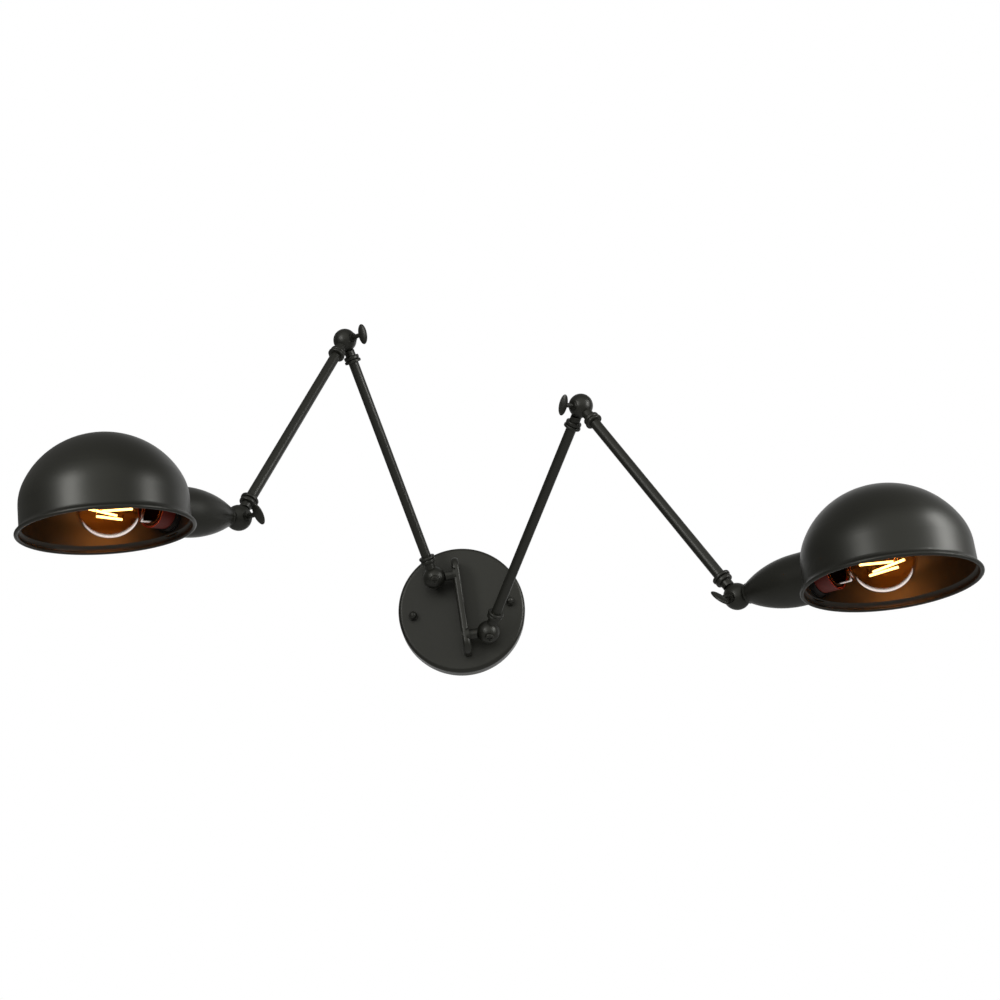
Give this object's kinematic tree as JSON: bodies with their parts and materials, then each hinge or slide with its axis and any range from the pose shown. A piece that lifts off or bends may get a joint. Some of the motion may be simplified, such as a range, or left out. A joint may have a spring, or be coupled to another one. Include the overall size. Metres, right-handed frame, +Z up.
{
  "type": "swing arm wall lamp",
  "caption": "Wall lamp with a round plate, an upright bracket and jointed tube arms that each carry a deep bowl shade with a rolled rim and a lit amber globe bulb.",
  "frame": {"origin": "centre of the mounting strap's back face, on the wall plane", "axes": "X to the right as seen from the room, Y into the wall, Z up"},
  "size_m": [0.6859, 0.4153, 0.3676],
  "materials": {
    "black_paint": "satin-matt black paint on steel",
    "zinc_steel": "bright zinc plate",
    "brass": "plain brass",
    "bakelite": "moulded dark red-brown bakelite",
    "amber_glass": "clear amber glass",
    "mount_glass": "clear mount glass with wires",
    "filament": "lit filament",
    "connector_plastic": "white moulded plastic",
    "flex_sheath": "black flex sheath"
  },
  "bodies": {
    "wall": {"wall_plate": "black_paint", "mounting_strap": "zinc_steel", "strap_studs": "zinc_steel", "cap_nuts": "black_paint", "arm_bracket": "black_paint", "bracket_screws": "zinc_steel", "terminal_block": "connector_plastic", "earth_screw": "brass"},
    "base_left": {"base_stem_half_left": "black_paint", "base_nut_left": "black_paint", "base_pivot_screw_left": "black_paint"},
    "lower_arm_left": {"base_arm_half_left": "black_paint", "lower_tube_left": "black_paint", "lower_lock_rings_left": "black_paint", "lower_flex_left": "flex_sheath", "elbow_lower_half_left": "black_paint"},
    "elbow_screw_left": {"elbow_wing_screw_left": "black_paint"},
    "upper_arm_left": {"elbow_upper_half_left": "black_paint", "upper_tube_left": "black_paint", "upper_lock_rings_left": "black_paint", "upper_flex_left": "flex_sheath", "head_arm_half_left": "black_paint"},
    "head_screw_left": {"head_wing_screw_left": "black_paint"},
    "head_left": {"head_cup_half_left": "black_paint", "socket_cup_left": "black_paint", "lampholder_left": "bakelite", "socket_shell_left": "brass", "centre_contact_left": "brass", "shade_ring_left": "bakelite"},
    "shade_left": {"shade_left": "black_paint"},
    "bulb_left": {"bulb_glass_left": "amber_glass", "bulb_cap_left": "brass", "bulb_stem_left": "mount_glass", "filaments_left": "filament"},
    "base_right": {"base_stem_half_right": "black_paint", "base_nut_right": "black_paint", "base_pivot_screw_right": "black_paint"},
    "lower_arm_right": {"base_arm_half_right": "black_paint", "lower_tube_right": "black_paint", "lower_lock_rings_right": "black_paint", "lower_flex_right": "flex_sheath", "elbow_lower_half_right": "black_paint"},
    "elbow_screw_right": {"elbow_wing_screw_right": "black_paint"},
    "upper_arm_right": {"elbow_upper_half_right": "black_paint", "upper_tube_right": "black_paint", "upper_lock_rings_right": "black_paint", "upper_flex_right": "flex_sheath", "head_arm_half_right": "black_paint"},
    "head_screw_right": {"head_wing_screw_right": "black_paint"},
    "head_right": {"head_cup_half_right": "black_paint", "socket_cup_right": "black_paint", "lampholder_right": "bakelite", "socket_shell_right": "brass", "centre_contact_right": "brass", "shade_ring_right": "bakelite"},
    "shade_right": {"shade_right": "black_paint"},
    "bulb_right": {"bulb_glass_right": "amber_glass", "bulb_cap_right": "brass", "bulb_stem_right": "mount_glass", "filaments_right": "filament"}
  },
  "joints": [
    {"name": "base_swivel_left", "type": "hinge", "parent": "wall", "child": "base_left", "pos_m": [-0.022, -0.0405, 0.0305], "axis": [-1, 0, 0], "range_deg": [-63, 23]},
    {"name": "base_hinge_left", "type": "hinge", "parent": "base_left", "child": "lower_arm_left", "pos_m": [-0.022, -0.0405, 0.0305], "axis": [0, 0.8934, 0.4493], "range_deg": [-48, 12]},
    {"name": "elbow_hinge_left", "type": "hinge", "parent": "lower_arm_left", "child": "upper_arm_left", "pos_m": [-0.0719, -0.14782, 0.24388], "axis": [-0.7776, 0.6156, 0.1278], "range_deg": [-5, 120]},
    {"name": "elbow_screw_turn_left", "type": "hinge", "parent": "lower_arm_left", "child": "elbow_screw_left", "pos_m": [-0.0719, -0.14782, 0.24388], "axis": [0.7776, -0.6156, -0.1278], "range_deg": [0, 360]},
    {"name": "head_hinge_left", "type": "hinge", "parent": "upper_arm_left", "child": "head_left", "pos_m": [-0.1722, -0.23562, 0.05645], "axis": [0.7995, -0.5799, -0.1562], "range_deg": [-57, 72]},
    {"name": "head_screw_turn_left", "type": "hinge", "parent": "upper_arm_left", "child": "head_screw_left", "pos_m": [-0.1722, -0.23562, 0.05645], "axis": [0.7995, -0.5799, -0.1562], "range_deg": [0, 360]},
    {"name": "shade_turn_left", "type": "hinge", "parent": "head_left", "child": "shade_left", "pos_m": [-0.21482, -0.29308, 0.05164], "axis": [-0.5944, -0.8014, -0.067], "range_deg": [-30, 30]},
    {"name": "bulb_turn_left", "type": "hinge", "parent": "head_left", "child": "bulb_left", "pos_m": [-0.21975, -0.29973, 0.05108], "axis": [0.5944, 0.8014, 0.067], "range_deg": [0, 1080]},
    {"name": "base_swivel_right", "type": "hinge", "parent": "wall", "child": "base_right", "pos_m": [0.022, -0.0405, -0.0305], "axis": [1, 0, 0], "range_deg": [-39.5, 46.5]},
    {"name": "base_hinge_right", "type": "hinge", "parent": "base_right", "child": "lower_arm_right", "pos_m": [0.022, -0.0405, -0.0305], "axis": [0, -0.7266, -0.6871], "range_deg": [-33, 26]},
    {"name": "elbow_hinge_right", "type": "hinge", "parent": "lower_arm_right", "child": "upper_arm_right", "pos_m": [0.13049, -0.19067, 0.1283], "axis": [-0.7435, -0.6588, -0.1151], "range_deg": [-21, 104]},
    {"name": "elbow_screw_turn_right", "type": "hinge", "parent": "lower_arm_right", "child": "elbow_screw_right", "pos_m": [0.13049, -0.19067, 0.1283], "axis": [-0.7435, -0.6588, -0.1151], "range_deg": [0, 360]},
    {"name": "head_hinge_right", "type": "hinge", "parent": "upper_arm_right", "child": "head_right", "pos_m": [0.21724, -0.25298, -0.0754], "axis": [0.7267, 0.6793, 0.1017], "range_deg": [-49, 80]},
    {"name": "head_screw_turn_right", "type": "hinge", "parent": "upper_arm_right", "child": "head_screw_right", "pos_m": [0.21724, -0.25298, -0.0754], "axis": [-0.7267, -0.6793, -0.1017], "range_deg": [0, 360]},
    {"name": "shade_turn_right", "type": "hinge", "parent": "head_right", "child": "shade_right", "pos_m": [0.26641, -0.30504, -0.07901], "axis": [0.6858, -0.7261, -0.0504], "range_deg": [-30, 30]},
    {"name": "bulb_turn_right", "type": "hinge", "parent": "head_right", "child": "bulb_right", "pos_m": [0.2721, -0.31107, -0.07943], "axis": [-0.6858, 0.7261, 0.0504], "range_deg": [0, 1080]}
  ]
}
